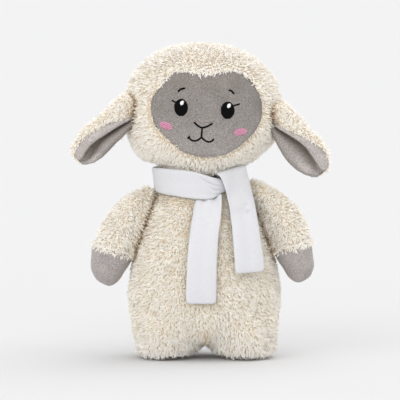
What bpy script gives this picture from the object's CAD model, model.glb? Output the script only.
# %% [markdown]
# # A plush sheep with a white scarf
# The toy is sewn from cream fur cloth and grey velour, and filled with fibre. This lesson dresses
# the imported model: the frame gives each moving body and the place of every piece, in metres, and
# the cells below replace the plain solids with fur, velour, thread and jersey.

# %% Load the frame
import math

import bmesh
import bpy
import numpy as np
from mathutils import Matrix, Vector
from mathutils.bvhtree import BVHTree


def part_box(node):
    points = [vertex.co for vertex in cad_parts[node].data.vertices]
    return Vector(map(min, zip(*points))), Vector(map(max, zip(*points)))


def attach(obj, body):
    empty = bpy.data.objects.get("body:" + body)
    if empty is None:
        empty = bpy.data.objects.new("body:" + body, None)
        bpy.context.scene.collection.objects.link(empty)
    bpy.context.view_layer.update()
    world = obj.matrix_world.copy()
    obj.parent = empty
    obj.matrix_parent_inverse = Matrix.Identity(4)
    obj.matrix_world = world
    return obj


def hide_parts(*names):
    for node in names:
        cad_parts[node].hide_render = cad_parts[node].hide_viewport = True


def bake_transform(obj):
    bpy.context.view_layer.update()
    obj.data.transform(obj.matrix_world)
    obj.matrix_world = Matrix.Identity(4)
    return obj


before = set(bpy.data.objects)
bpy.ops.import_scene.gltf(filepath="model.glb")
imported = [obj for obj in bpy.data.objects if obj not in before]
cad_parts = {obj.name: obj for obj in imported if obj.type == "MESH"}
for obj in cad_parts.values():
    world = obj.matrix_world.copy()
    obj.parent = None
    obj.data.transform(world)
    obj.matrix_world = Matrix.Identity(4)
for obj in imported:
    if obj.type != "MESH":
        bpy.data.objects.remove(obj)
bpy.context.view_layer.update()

MM = 0.001

# %% [markdown]
# ## Camera, floor and light
# The photograph looks taken with a long lens, almost level with the toy. The floor and the
# background are one pale grey, so a wide floor and an even sky do the work of a studio sweep.
# Three soft lamps give the form: one on the left in front, one close to the camera that fills
# the pile, and one nearly overhead on the right, which lays the faint shadow to the left.

# %% Camera
scene = bpy.context.scene
scene.view_settings.view_transform = "Standard"
CAMERA_FAR = 3.0
CAMERA_RISE = math.radians(4)
PIXELS, PIXEL_SIZE = 400, 0.7886 * MM
VIEW_WIDTH = PIXELS * PIXEL_SIZE
AIM = Vector((0, 0, 0.1246))
camera = bpy.data.objects.new("camera", bpy.data.cameras.new("camera"))
scene.collection.objects.link(camera)
towards = Vector((0, -math.cos(CAMERA_RISE), math.sin(CAMERA_RISE)))
camera.location = AIM + CAMERA_FAR * towards
camera.rotation_euler = (-towards).to_track_quat("-Z", "Y").to_euler()
camera.data.lens = camera.data.sensor_width * CAMERA_FAR / VIEW_WIDTH
camera.data.clip_end = 200
scene.camera = camera
print("lens", round(camera.data.lens), "mm")

# %% Helpers for materials
def material(name, roughness=0.9):
    made = bpy.data.materials.new(name)
    made.use_nodes = True
    shader = made.node_tree.nodes["Principled BSDF"]
    shader.inputs["Roughness"].default_value = roughness
    return made, made.node_tree, shader


def colour(red, green, blue):
    """A screen colour, 0 to 255, as the linear colour that a shader takes."""
    shares = [c / 255 for c in (red, green, blue)]
    linear = [c / 12.92 if c <= 0.04045 else ((c + 0.055) / 1.055) ** 2.4 for c in shares]
    return (*linear, 1)


def node(tree, kind, values=(), **settings):
    made = tree.nodes.new(kind)
    for name, value in settings.items():
        setattr(made, name, value)
    for socket, value in dict(values).items():
        made.inputs[socket].default_value = value
    return made


def ramp(tree, source, stops):
    made = node(tree, "ShaderNodeValToRGB")
    steps = made.color_ramp.elements
    while len(steps) < len(stops):
        steps.new(0.5)
    for step, (place, shade) in zip(steps, stops):
        step.position, step.color = place, shade
    tree.links.new(source, made.inputs["Fac"])
    return made.outputs["Color"]


def multiplied(tree, first, second):
    made = node(tree, "ShaderNodeMix", {"Factor": 1.0}, data_type="RGBA", blend_type="MULTIPLY")
    tree.links.new(first, made.inputs["A"])
    tree.links.new(second, made.inputs["B"])
    return made.outputs["Result"]


def roughened(tree, shader, pattern, strength, distance):
    """Lets a pattern stand out of the surface. The distance is in metres."""
    bump = node(tree, "ShaderNodeBump", {"Strength": strength, "Distance": distance})
    tree.links.new(pattern, bump.inputs["Height"])
    tree.links.new(bump.outputs["Normal"], shader.inputs["Normal"])


def cloth_gloss(shader, gloss, sheen):
    shader.inputs["Specular IOR Level"].default_value = gloss
    shader.inputs["Sheen Weight"].default_value = sheen


# %% Floor, sky and lamps
PAPER = colour(242, 242, 242)
FLOOR_PAPER = colour(218, 218, 219)
SKY_LEVEL = 0.62
floor_paint, tree, shader = material("studio_paper", 0.95)
shader.inputs["Base Color"].default_value = FLOOR_PAPER
shader.inputs["Specular IOR Level"].default_value = 0.1
grain = node(tree, "ShaderNodeTexNoise", {"Scale": 900.0, "Detail": 2.0})
roughened(tree, shader, grain.outputs["Fac"], 0.02, 0.0001)
bpy.ops.mesh.primitive_grid_add(x_subdivisions=8, y_subdivisions=8, size=80)
floor = bpy.context.object
floor.name = "studio_floor"
floor.data.materials.append(floor_paint)

world = bpy.data.worlds.new("studio_sky")
scene.world = world
world.use_nodes = True
sky_tree = world.node_tree
sky = sky_tree.nodes["Background"]
sky.inputs["Color"].default_value = (1, 1, 1, 1)
sky.inputs["Strength"].default_value = SKY_LEVEL
seen_sky = node(sky_tree, "ShaderNodeBackground", {"Color": PAPER, "Strength": 1.0})
looked_at = node(sky_tree, "ShaderNodeLightPath")
either = node(sky_tree, "ShaderNodeMixShader")
sky_tree.links.new(looked_at.outputs["Is Camera Ray"], either.inputs["Fac"])
sky_tree.links.new(sky.outputs["Background"], either.inputs[1])
sky_tree.links.new(seen_sky.outputs["Background"], either.inputs[2])
sky_tree.links.new(either.outputs["Shader"], sky_tree.nodes["World Output"].inputs["Surface"])


def lamp(name, azimuth, rise, strength, softness):
    """A distant soft lamp. Azimuth 0 is in front of the toy and 90 on its left side."""
    light = bpy.data.objects.new(name, bpy.data.lights.new(name, "SUN"))
    scene.collection.objects.link(light)
    a, e = math.radians(azimuth), math.radians(rise)
    place = Vector((math.sin(a) * math.cos(e), -math.cos(a) * math.cos(e), math.sin(e)))
    light.rotation_euler = (-place).to_track_quat("-Z", "Y").to_euler()
    light.data.energy = strength
    light.data.angle = math.radians(softness)


lamp("soft_box_left", -46, 26, 0.71, 60)
lamp("soft_box_camera", -6, 15, 1.12, 70)
lamp("soft_box_top", 110, 66, 1.58, 80)
print("sky", SKY_LEVEL, "and", len(bpy.data.lights), "lamps")

# %% [markdown]
# ## Forms of filled cloth
# A filled toy has no flat faces: the fibre presses its cloth out into one smooth skin. The packed
# solids say where each skin lies. They are joined, remeshed into even squares and smoothed, and
# their fuller and slacker places are written as soft swellings. A short cloth simulation with
# pressure from inside runs on each skin too. As set here it moves them by less than 0.05 mm on
# average, which doesn't show, so the filled look comes from the solids and the smoothing.

# %% Mesh helpers
SIDES = (("left", 1), ("right", -1))


def shade_smooth(mesh, wanted=True):
    mesh.polygons.foreach_set("use_smooth", np.full(len(mesh.polygons), wanted))


def build(name, points, faces, uv=None):
    """A mesh object from arrays of points and triangles, with UVs given per point."""
    mesh = bpy.data.meshes.new(name)
    points, faces = np.asarray(points, np.float32), np.asarray(faces, np.int32)
    sides = faces.shape[1]
    mesh.vertices.add(len(points))
    mesh.vertices.foreach_set("co", points.ravel())
    mesh.loops.add(faces.size)
    mesh.loops.foreach_set("vertex_index", faces.ravel())
    mesh.polygons.add(len(faces))
    mesh.polygons.foreach_set("loop_start", np.arange(0, faces.size, sides, dtype=np.int32))
    mesh.update(calc_edges=True)
    if uv is not None:
        label, pairs = uv
        layer = mesh.uv_layers.new(name=label)
        layer.data.foreach_set("uv", np.asarray(pairs, np.float32)[faces.ravel()].ravel())
    mesh.validate()
    shade_smooth(mesh)
    made = bpy.data.objects.new(name, mesh)
    scene.collection.objects.link(made)
    return made


def points_of(thing):
    found = np.empty(len(thing.data.vertices) * 3)
    thing.data.vertices.foreach_get("co", found)
    return found.reshape(-1, 3)


def set_points(thing, points):
    thing.data.vertices.foreach_set("co", np.asarray(points, np.float32).ravel())
    thing.data.update()


def normals_of(thing):
    found = np.empty(len(thing.data.vertices) * 3)
    thing.data.vertices.foreach_get("normal", found)
    return found.reshape(-1, 3)


def triangles_of(thing):
    thing.data.calc_loop_triangles()
    found = np.empty(len(thing.data.loop_triangles) * 3, np.int32)
    thing.data.loop_triangles.foreach_get("vertices", found)
    return found.reshape(-1, 3)


def surface_of(thing):
    return points_of(thing), normals_of(thing), triangles_of(thing)


def edge_ends(thing):
    """The two points of each edge, and how many edges meet at each point."""
    found = np.empty(len(thing.data.edges) * 2, np.int32)
    thing.data.edges.foreach_get("vertices", found)
    a, b = found.reshape(-1, 2).T
    return a, b, np.bincount(np.concatenate([a, b]), minlength=len(thing.data.vertices))


def neighbour_sum(a, b, values):
    return np.bincount(a, values[b], len(values)) + np.bincount(b, values[a], len(values))


def cleaned(thing, merge=None, close=False):
    """Turns all faces outward, after merging near points and closing holes where that is asked."""
    bm = bmesh.new()
    bm.from_mesh(thing.data)
    if merge:
        bmesh.ops.remove_doubles(bm, verts=bm.verts, dist=merge)
    if close:
        bmesh.ops.holes_fill(bm, edges=[e for e in bm.edges if e.is_boundary])
    bmesh.ops.recalc_face_normals(bm, faces=bm.faces)
    if close:
        bmesh.ops.triangulate(bm, faces=bm.faces)
    bm.to_mesh(thing.data)
    bm.free()
    return thing


def tree_of(*things):
    points, faces, count = [], [], 0
    for thing in things:
        points.append(points_of(thing))
        faces.append(triangles_of(thing) + count)
        count += len(points[-1])
    return BVHTree.FromPolygons(np.vstack(points).tolist(), np.vstack(faces).tolist())


def distances(tree, points):
    return np.array([tree.find_nearest(Vector(p))[3] for p in points])


def swell(points, x, z, wide, tall):
    """1 at a place seen from the front, falling to 0 round it. The four numbers are in mm."""
    across, up = (points[:, 0] - x * MM) / (wide * MM), (points[:, 2] - z * MM) / (tall * MM)
    return np.exp(-(across**2) - up**2)


def dress(thing, finish, body, slot, *nodes):
    """Gives a piece its material, its body, its slot and the nodes that it stands for."""
    thing.data.materials.clear()
    thing.data.materials.append(finish)
    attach(thing, body)
    if nodes:
        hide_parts(*nodes)
    return thing


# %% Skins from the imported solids
def evaluated(thing):
    shown = thing.evaluated_get(bpy.context.evaluated_depsgraph_get())
    mesh = bpy.data.meshes.new_from_object(shown)
    thing.modifiers.clear()
    thing.data = mesh
    return thing


def joined(name, nodes, voxel):
    """One closed skin round the named solids, in even squares of the voxel's size."""
    gathered = bmesh.new()
    for each in nodes:
        gathered.from_mesh(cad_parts[each].data)
    mesh = bpy.data.meshes.new(name)
    gathered.to_mesh(mesh)
    gathered.free()
    made = bpy.data.objects.new(name, mesh)
    scene.collection.objects.link(made)
    squares = made.modifiers.new("squares", "REMESH")
    squares.mode, squares.voxel_size = "VOXEL", voxel
    evaluated(made)
    shade_smooth(made.data)
    return made


def smooth(thing, rounds):
    """Evens out the skin and then puts back the size that smoothing takes."""
    a, b, neighbours = edge_ends(thing)
    points = points_of(thing)
    before = points.copy()
    for _ in range(rounds):
        total = np.stack([neighbour_sum(a, b, column) for column in points.T], 1)
        points += 0.6 * (total / neighbours[:, None] - points)
    set_points(thing, points)
    normals = normals_of(thing)
    lost = ((before - points) * normals).sum(1).mean()
    set_points(thing, points + normals * lost)
    return thing


def inset(thing, depth):
    """Sinks the skin by a depth, one for all points or one for each."""
    depth = np.broadcast_to(depth, len(thing.data.vertices))[:, None]
    set_points(thing, points_of(thing) - normals_of(thing) * depth)
    return thing


FILLING_FRAMES = 20


def puffed(thing, held, cap, pressure=4.0):
    """Cloth simulation with pressure from inside. Held points stay, and the cap is seldom reached."""
    rest = points_of(thing)
    group = thing.vertex_groups.new(name="held")
    group.add(np.nonzero(held)[0].tolist(), 1.0, "REPLACE")
    cloth = thing.modifiers.new("filling", "CLOTH")
    settings = cloth.settings
    settings.use_pressure, settings.uniform_pressure_force = True, pressure
    settings.vertex_group_mass = "held"
    settings.effector_weights.gravity = 0
    settings.quality = 5
    cloth.collision_settings.use_collision = False
    scene.frame_start, scene.frame_end = 1, FILLING_FRAMES
    cloth.point_cache.frame_start, cloth.point_cache.frame_end = 1, FILLING_FRAMES
    for step in range(1, FILLING_FRAMES + 1):
        scene.frame_set(step)
    evaluated(thing)
    moved = points_of(thing) - rest
    far = np.linalg.norm(moved, axis=1, keepdims=True)
    set_points(thing, rest + moved * np.minimum(1, cap / np.maximum(far, 1e-9)))
    scene.frame_set(1)
    mean, most = (round(float(value / MM), 3) for value in (far.mean(), far.max()))
    print(thing.name, "moved by", mean, "mm on average and", most, "mm at most before the cap")
    return thing


BODY_SOLIDS = ("body_front_panel", "body_back_panel", "left_leg", "right_leg")
BODY_INSIDE = ("body_filling", "pellet_bag")
HEAD_SOLIDS = ("head_front_panel", "head_back_panel")
FUR_HEIGHT = 3.2 * MM
SKIN_SQUARES = 2.6 * MM

# %% Body skin
body_skin = smooth(joined("body_skin", BODY_SOLIDS + BODY_INSIDE, SKIN_SQUARES), 9)
points = points_of(body_skin)
x, _, z = points.T
# The pile fills the notch between the legs, and the feet stay wide down to the floor.
notch = swell(points, 4, 15, 12, 11)
foot = np.clip(1.5 - z / (9 * MM), 0, 1)
shoulder = swell(points, 36, 138, 9, 9)
neck = swell(points, 41, 142, 7, 7)
flank = np.exp(-(((z - 45 * MM) / (20 * MM)) ** 2))
flank *= np.clip((np.abs(x - 3 * MM) - 40 * MM) / (14 * MM), 0, 1)
flank *= np.where(x < 0, 1.5, 1)
toe = np.clip(1.2 - z / (20 * MM), 0, 1) * np.clip((-44 * MM - x) / (10 * MM), 0, 1)
depth = 1 - 0.9 * notch - 0.95 * foot - 0.9 * shoulder - 0.4 * flank - 1.4 * neck + 0.9 * toe
inset(body_skin, FUR_HEIGHT * depth)
puffed(body_skin, (z < 10 * MM) | (z > 128 * MM), 1.2 * MM)
print("body skin", len(body_skin.data.vertices), "points")

# %% Head skin
head_skin = joined("head_skin", HEAD_SOLIDS + ("head_filling", "face_panel"), SKIN_SQUARES)
smooth(head_skin, 8)
points = points_of(head_skin)
# The head is packed a little fuller at the toy's right cheek than at its left.
right_cheek, left_cheek = swell(points, -46, 168, 22, 18), swell(points, 50, 166, 20, 16)
crown, temple = swell(points, 44, 232, 22, 22), swell(points, -54, 214, 18, 20)
jowl = swell(points, -46, 161, 14, 10)
deeper = 2.0 * left_cheek + 0.8 * crown - 1.9 * right_cheek - 1.7 * temple - 3.5 * jowl
inset(head_skin, FUR_HEIGHT + deeper * MM)
points = points_of(head_skin)
puffed(head_skin, (points[:, 2] < 152 * MM) | (points[:, 1] < -36 * MM), 1.0 * MM)
print("head skin", len(head_skin.data.vertices), "points")

# %% [markdown]
# ## Fur
# The fur cloth has a short curly pile that stands in small locks. Particle hair would leave the
# model when it is exported, so each lock is a real tapered and curved wisp with three sides. The
# wisps stand on points spread evenly over a skin, lean the way the pile is combed, and gather
# towards the middle of their lock. Their colour comes from two numbers kept in the UV map: how
# deep in a crease the wisp stands, and how far along it a point lies.

# %% Fur material
LOCKS = [
    (0.0, colour(132, 94, 56)),
    (0.3, colour(206, 181, 145)),
    (0.6, colour(240, 231, 214)),
    (0.85, colour(251, 246, 235)),
    (1.0, colour(255, 252, 247)),
]
ROOT_TO_TIP = [(0.0, (0.86, 0.79, 0.71, 1)), (0.35, (0.98, 0.96, 0.94, 1)), (0.6, (1, 1, 1, 1))]
fur_pile, tree, shader = material("cream_fur_pile", 0.85)
place = node(tree, "ShaderNodeUVMap", uv_map="OFBake")
split = node(tree, "ShaderNodeSeparateXYZ")
tree.links.new(place.outputs["UV"], split.inputs["Vector"])
lock = ramp(tree, split.outputs["X"], LOCKS)
along = ramp(tree, split.outputs["Y"], ROOT_TO_TIP)
tree.links.new(multiplied(tree, lock, along), shader.inputs["Base Color"])
cloth_gloss(shader, 0.2, 0.9)
shader.inputs["Sheen Roughness"].default_value = 0.6
shader.inputs["Sheen Tint"].default_value = (1, 0.98, 0.95, 1)

backing, tree, shader = material("fur_backing", 0.95)
knit = node(tree, "ShaderNodeTexNoise", {"Scale": 420.0, "Detail": 4.0})
KNIT_SHADES = [(0.3, colour(206, 188, 158)), (0.7, colour(230, 217, 194))]
tree.links.new(ramp(tree, knit.outputs["Fac"], KNIT_SHADES), shader.inputs["Base Color"])
roughened(tree, shader, knit.outputs["Fac"], 0.5, 0.0004)


# %% Growing wisps
def waves(points, length, seed):
    """A smooth random field over space, about -1 to 1, that changes over the given length."""
    draw = np.random.default_rng(seed)
    total = np.zeros(len(points))
    for _ in range(6):
        way = draw.normal(size=3)
        way *= 2 * math.pi / (length * np.linalg.norm(way))
        total += np.sin(points @ way * draw.uniform(0.7, 1.4) + draw.uniform(0, 6.28))
    return total / 2.4


def unit(vectors):
    return vectors / np.maximum(np.linalg.norm(vectors, axis=1, keepdims=True), 1e-9)


def spread(points, normals, faces, spacing, seed):
    """Places spread evenly over triangles: random ones, thinned to one in each small cell."""
    draw = np.random.default_rng(seed)
    a, b, c = (points[faces[:, i]] for i in range(3))
    areas = np.linalg.norm(np.cross(b - a, c - a), axis=1) / 2
    count = int(2.6 * areas.sum() / spacing**2)
    chosen = draw.choice(len(faces), count, p=areas / areas.sum())
    s, t = draw.random((2, count, 1))
    flip = (s + t) > 1
    s, t = np.where(flip, 1 - s, s), np.where(flip, 1 - t, t)
    picked = faces[chosen]
    places = a[chosen] + s * (b - a)[chosen] + t * (c - a)[chosen]
    at_a, at_b, at_c = (normals[picked[:, i]] for i in range(3))
    ways = (1 - s - t) * at_a + s * at_b + t * at_c
    cells = np.floor(places / spacing).astype(int)
    _, first = np.unique(cells, axis=0, return_index=True)
    first.sort()
    return places[first], unit(ways[first])


WISP_STEPS = np.array([0.0, 0.4, 0.76])
WISP_WIDTHS = np.array([0.8, 1.0, 0.75])
WISP_SECTION = ((-1.0, -0.15), (0.0, 0.6), (1.0, -0.15))
WISP_WIDTH = 0.76 * MM
WISP_SPACING = 0.96 * MM
WISP_PARTS = 6
WISP_POINTS = 10
LOCK_SIZE = 3.3 * MM
LOCK_PULL = 0.3


def wisps(name, places, ways, comb, length, rise, shade, seed):
    """Tapered, curved locks of fur as one mesh. Rise is how far they stand up, at root and tip."""
    draw = np.random.default_rng(seed)
    count = len(places)
    cells = np.floor(places / LOCK_SIZE).astype(int)
    _, first, group = np.unique(cells, axis=0, return_index=True, return_inverse=True)
    group = group.ravel()
    turn = draw.normal(0, 0.4, len(first))[group] + draw.normal(0, 0.7, count)
    turn += 0.2 * waves(places, 20 * MM, 5)
    middle = np.zeros((len(first), 3))
    for axis in range(3):
        middle[:, axis] = np.bincount(group, places[:, axis]) / np.bincount(group)
    lean = unit(comb - ways * (comb * ways).sum(1, keepdims=True))
    side = np.cross(ways, lean)
    flow = lean * np.cos(turn)[:, None] + side * np.sin(turn)[:, None]
    across = np.cross(ways, flow)
    size = length * (draw.uniform(0.75, 1.2, count) * draw.uniform(0.85, 1.15, len(first))[group])
    curl = (draw.normal(0, 0.6, len(first))[group] + draw.normal(0, 1.0, count))[:, None]
    start = np.radians(rise[0]) + draw.normal(0, 0.2, count)
    end = np.radians(rise[1]) + draw.normal(0, 0.3, count)
    spine = [places - ways * 0.6 * MM]
    for step in range(WISP_PARTS):
        share = (step + 0.5) / WISP_PARTS
        lift = (start + (end - start) * share)[:, None]
        bend = curl * (share - 0.2)
        forward = flow * np.cos(bend) + across * np.sin(bend)
        way = forward * np.cos(lift) + ways * np.sin(lift)
        spine.append(spine[-1] + way * (size / WISP_PARTS)[:, None])
    spine = np.stack(spine, 1)
    inward = middle[group] - places
    inward -= ways * (inward * ways).sum(1, keepdims=True)
    shares = np.linspace(0, 1, WISP_PARTS + 1)
    spine += inward[:, None, :] * (LOCK_PULL * shares**1.5)[None, :, None]

    def at(share):
        low = min(int(share * WISP_PARTS), WISP_PARTS - 1)
        part = share * WISP_PARTS - low
        return spine[:, low] * (1 - part) + spine[:, low + 1] * part

    rings, thick = [], WISP_WIDTH * draw.uniform(0.75, 1.2, count)
    for share, wide in zip(WISP_STEPS, WISP_WIDTHS):
        centre = at(share)
        along = unit(at(min(share + 0.12, 1)) - at(max(share - 0.12, 0)))
        u = unit(np.cross(along, ways + 0.31 * flow))
        v = np.cross(along, u)
        # The section is a low roof: two edges on the skin's side and a ridge on the outside.
        for across_share, ridge in WISP_SECTION:
            offset = u * across_share - v * ridge
            rings.append(centre + offset * (thick * wide / 2)[:, None])
    rings.append(at(1.0))
    points = np.stack(rings, 1)
    points[:, :, 2] = np.maximum(points[:, :, 2], 0.25 * MM)
    local = [(0, 2, 1)]
    for ring in (0, 3):
        for corner in range(3):
            k, m = ring + corner, ring + (corner + 1) % 3
            local += [(k, m, m + 3), (k, m + 3, k + 3)]
    local += [(6 + corner, 6 + (corner + 1) % 3, 9) for corner in range(3)]
    faces = np.array(local)[None] + WISP_POINTS * np.arange(count)[:, None, None]
    tone = shade + 0.05 * draw.normal(size=len(first))[group] + 0.06 * draw.normal(size=count)
    along_share = np.array([*np.repeat(WISP_STEPS, 3), 1.0])
    uv = np.empty((count, WISP_POINTS, 2))
    uv[:, :, 0] = np.clip(tone, 0.02, 0.98)[:, None]
    uv[:, :, 1] = np.clip(along_share, 0.02, 0.98)[None]
    made = build(name, points.reshape(-1, 3), faces.reshape(-1, 3), ("OFBake", uv.reshape(-1, 2)))
    shade_smooth(made.data, False)
    print(name, count, "wisps,", len(made.data.polygons), "triangles")
    return made


PIECE_LIMIT = 12000


def pile(name, body, places, ways, comb, length, rise, shade, seed):
    """Grows wisps in pieces of a manageable size, cut at level heights, and dresses them."""
    count = math.ceil(len(places) / PIECE_LIMIT)
    made = []
    for k, chosen in enumerate(np.array_split(np.argsort(places[:, 2]), count)):
        part = [np.broadcast_to(v, len(places))[chosen] for v in (length, shade, *rise)]
        label = name if count == 1 else name + "_" + "abcdefghij"[k]
        piece = wisps(
            label, places[chosen], ways[chosen], comb[chosen], part[0], part[2:], part[1], seed + k
        )
        made.append(dress(piece, fur_pile, body, "fur_cloth"))
    return made


def tones(base, crease, seed):
    """Shades for wisps: brown where they part over a crease, with paler ones left among them."""
    draw = np.random.default_rng(seed)
    return base - crease * (0.88 + 0.32 * draw.normal(size=len(crease)))


def nearness(places, other, reach):
    """1 where a place touches the other surface, falling to 0 over the reach."""
    found = [other.find_nearest(Vector(p), reach * 3) for p in places]
    far = np.array([f[3] if f[0] is not None else reach * 3 for f in found])
    return np.exp(-((far / reach) ** 2))


# %% [markdown]
# ## Velour
# The face, ear linings, mittens and soles are a short grey velour. It has a fine suede grain,
# patches where the nap leans another way, and a soft sheen at its edges. Three finishes share
# this grain, so it is a node group that gives a colour and a normal.

# %% Velour grain group
nap = bpy.data.node_groups.new("velour_nap", "ShaderNodeTree")
for label, kind in (("Light", "Color"), ("Dark", "Color"), ("Grain", "Float")):
    nap.interface.new_socket(name=label, in_out="INPUT", socket_type="NodeSocket" + kind)
nap.interface.new_socket(name="Color", in_out="OUTPUT", socket_type="NodeSocketColor")
nap.interface.new_socket(name="Normal", in_out="OUTPUT", socket_type="NodeSocketVector")
given, handed = nap.nodes.new("NodeGroupInput"), nap.nodes.new("NodeGroupOutput")
where = node(nap, "ShaderNodeTexCoord")
fine = node(nap, "ShaderNodeTexNoise", {"Scale": 1150.0, "Detail": 3.0, "Roughness": 0.7})
patches = node(nap, "ShaderNodeTexNoise", {"Scale": 70.0, "Detail": 3.0, "Distortion": 0.4})
for noise_node in (fine, patches):
    nap.links.new(where.outputs["Object"], noise_node.inputs["Vector"])
fine_share = node(nap, "ShaderNodeMath", operation="MULTIPLY")
nap.links.new(fine.outputs["Fac"], fine_share.inputs[0])
nap.links.new(given.outputs["Grain"], fine_share.inputs[1])
both = node(nap, "ShaderNodeMath", {2: 0.0}, operation="MULTIPLY_ADD")
both.inputs[1].default_value = 0.2
nap.links.new(patches.outputs["Fac"], both.inputs[0])
nap.links.new(fine_share.outputs["Value"], both.inputs[2])
spread_out = node(nap, "ShaderNodeMapRange", {"From Min": 0.39, "From Max": 0.96})
nap.links.new(both.outputs["Value"], spread_out.inputs["Value"])
blended = node(nap, "ShaderNodeMix", data_type="RGBA")
nap.links.new(spread_out.outputs["Result"], blended.inputs["Factor"])
nap.links.new(given.outputs["Dark"], blended.inputs["A"])
nap.links.new(given.outputs["Light"], blended.inputs["B"])
rough = node(nap, "ShaderNodeBump", {"Strength": 0.35, "Distance": 0.0003})
nap.links.new(fine.outputs["Fac"], rough.inputs["Height"])
nap.links.new(blended.outputs["Result"], handed.inputs["Color"])
nap.links.new(rough.outputs["Normal"], handed.inputs["Normal"])


def velour(name, light, dark, grain=0.9, depths=None):
    made, tree, shader = material(name, 0.88)
    group = tree.nodes.new("ShaderNodeGroup")
    group.node_tree = nap
    group.inputs["Light"].default_value = light
    group.inputs["Dark"].default_value = dark
    group.inputs["Grain"].default_value = grain
    cloth_colour = group.outputs["Color"]
    if depths:
        # The nap leans from place to place. The "fold" map says where a point lies, and the list
        # how much light the nap gives back there.
        deep = node(tree, "ShaderNodeUVMap", uv_map="fold")
        parts = node(tree, "ShaderNodeSeparateXYZ")
        tree.links.new(deep.outputs["UV"], parts.inputs["Vector"])
        stops = [(place, (red, red * tint, red * tint**2, 1)) for place, red, tint in depths]
        cloth_colour = multiplied(tree, cloth_colour, ramp(tree, parts.outputs["X"], stops))
    tree.links.new(cloth_colour, shader.inputs["Base Color"])
    tree.links.new(group.outputs["Normal"], shader.inputs["Normal"])
    cloth_gloss(shader, 0.15, 0.35)
    shader.inputs["Sheen Roughness"].default_value = 0.4
    return made


FACE_DEPTHS = [(0.0, 0.88, 0.98), (0.5, 0.98, 1.0), (0.82, 1.2, 1.0), (1.0, 1.24, 1.0)]
LINING_DEPTHS = [
    (0.0, 0.46, 0.93), (0.33, 0.63, 0.95), (0.62, 0.74, 0.98), (0.86, 0.86, 1.0), (0.97, 1.04, 1.0),
]
GRAIN = 1.15
face_velour = velour("face_velour", colour(170, 164, 160), colour(92, 87, 83), GRAIN, FACE_DEPTHS)
mitten_velour = velour("mitten_velour", colour(206, 199, 196), colour(109, 101, 99), GRAIN)
lining_velour = velour(
    "ear_lining_velour", colour(212, 205, 201), colour(119, 112, 108), GRAIN, LINING_DEPTHS
)
sole_velour = velour("sole_velour", colour(168, 161, 157), colour(146, 139, 135))
print("velour finishes made:", len([m for m in bpy.data.materials if "velour" in m.name]))

# %% [markdown]
# ## Face
# The face is one velour panel sewn into a hole in the fur, so it lies a little below the fur's
# tips and curves with the head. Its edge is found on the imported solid: from the middle, a search
# outward in each direction for the last point that still hits it. Rings between the middle and
# the edge make an even surface, with a shallow dent where the embroidery pulls the cloth in.

# %% Face panel
def hit_y(found, x, z, start=-0.2):
    spot, _, _, _ = found.ray_cast(Vector((x, start, z)), Vector((0, 1, 0)))
    return None if spot is None else spot.y


def centre_of(name):
    low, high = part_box(name)
    return (low + high) / 2


AROUND, RINGS = 144, 30
face_solid = tree_of(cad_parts["face_panel"])
face_middle = centre_of("face_panel")
turns = np.linspace(0, 2 * math.pi, AROUND, endpoint=False)
edge = []
for turn in turns:
    near, far = 0.0, 60 * MM
    for _ in range(22):
        tried = (near + far) / 2
        x = face_middle.x + tried * math.cos(turn)
        if hit_y(face_solid, x, face_middle.z + tried * math.sin(turn)) is None:
            far = tried
        else:
            near = tried
    edge.append(near)
edge = np.array(edge)
for _ in range(3):
    edge = (np.roll(edge, 1) + 2 * edge + np.roll(edge, -1)) / 4
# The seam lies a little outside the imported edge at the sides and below, as the photo shows.
edge += (1.5 - 0.9 * np.clip(np.sin(turns) * 2, 0, 1)) * MM
for turn, less, wide in ((2.45, 2.6, 0.32), (3.8, 2.0, 0.35), (5.6, 1.0, 0.35), (0.5, 0.8, 0.3)):
    edge -= less * MM * np.exp(-(((turns - turn) / wide) ** 2))
grid = [(0.0, 0.0)] + [
    (share * r * math.cos(t), share * r * math.sin(t))
    for share in np.linspace(0, 1, RINGS + 1)[1:]
    for t, r in zip(turns, edge * 0.995)
]
depths = [hit_y(face_solid, face_middle.x + x, face_middle.z + z) for x, z in grid]
known = np.array(depths, float)
for index in np.nonzero(np.isnan(known))[0]:
    known[index] = known[index - AROUND]
front = np.array([(face_middle.x + x, y, face_middle.z + z) for (x, z), y in zip(grid, known)])
faces = [(0, 1 + j, 1 + (j + 1) % AROUND) for j in range(AROUND)]
for ring in range(RINGS - 1):
    for j in range(AROUND):
        a, b = 1 + ring * AROUND + j, 1 + ring * AROUND + (j + 1) % AROUND
        faces += [(a, a + AROUND, b + AROUND), (a, b + AROUND, b)]

# %% Face cloth
lowness = np.clip((face_middle.z + 32 * MM - front[:, 2]) / (64 * MM), 0.02, 0.98)
fold_map = np.stack([lowness, np.full_like(lowness, 0.5)], 1)
face_cloth = build("face_cloth", front, faces, ("fold", fold_map))
shape = points_of(face_cloth)
a, b, degree = edge_ends(face_cloth)
rim = np.zeros(len(shape), bool)
rim[-AROUND:] = True
for _ in range(60):
    mean = neighbour_sum(a, b, shape[:, 1]) / degree
    shape[:, 1] = np.where(rim, shape[:, 1], shape[:, 1] + 0.7 * (mean - shape[:, 1]))
flat = shape[:, [0, 2]]
for name, deep, wide in (
    ("left_eye", 0.9, 8.5), ("right_eye", 0.9, 8.5),
    ("left_cheek", 0.4, 6), ("right_cheek", 0.4, 6), ("nose_and_mouth", 0.7, 9),
):
    spot = centre_of(name)
    away = np.hypot(flat[:, 0] - spot.x, flat[:, 1] - spot.z) / (wide * MM)
    shape[:, 1] += deep * MM * np.exp(-(away**2))
share = np.concatenate([[0], np.repeat(np.linspace(0, 1, RINGS + 1)[1:], AROUND)])
shape[:, 1] += 1.0 * MM * np.clip((share - 0.92) / 0.08, 0, 1) ** 2
shape[:, 1] += 0.12 * MM * waves(shape, 17 * MM, 3)
set_points(face_cloth, shape)
face_tree = tree_of(face_cloth)
thickness = face_cloth.modifiers.new("cloth", "SOLIDIFY")
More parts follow.
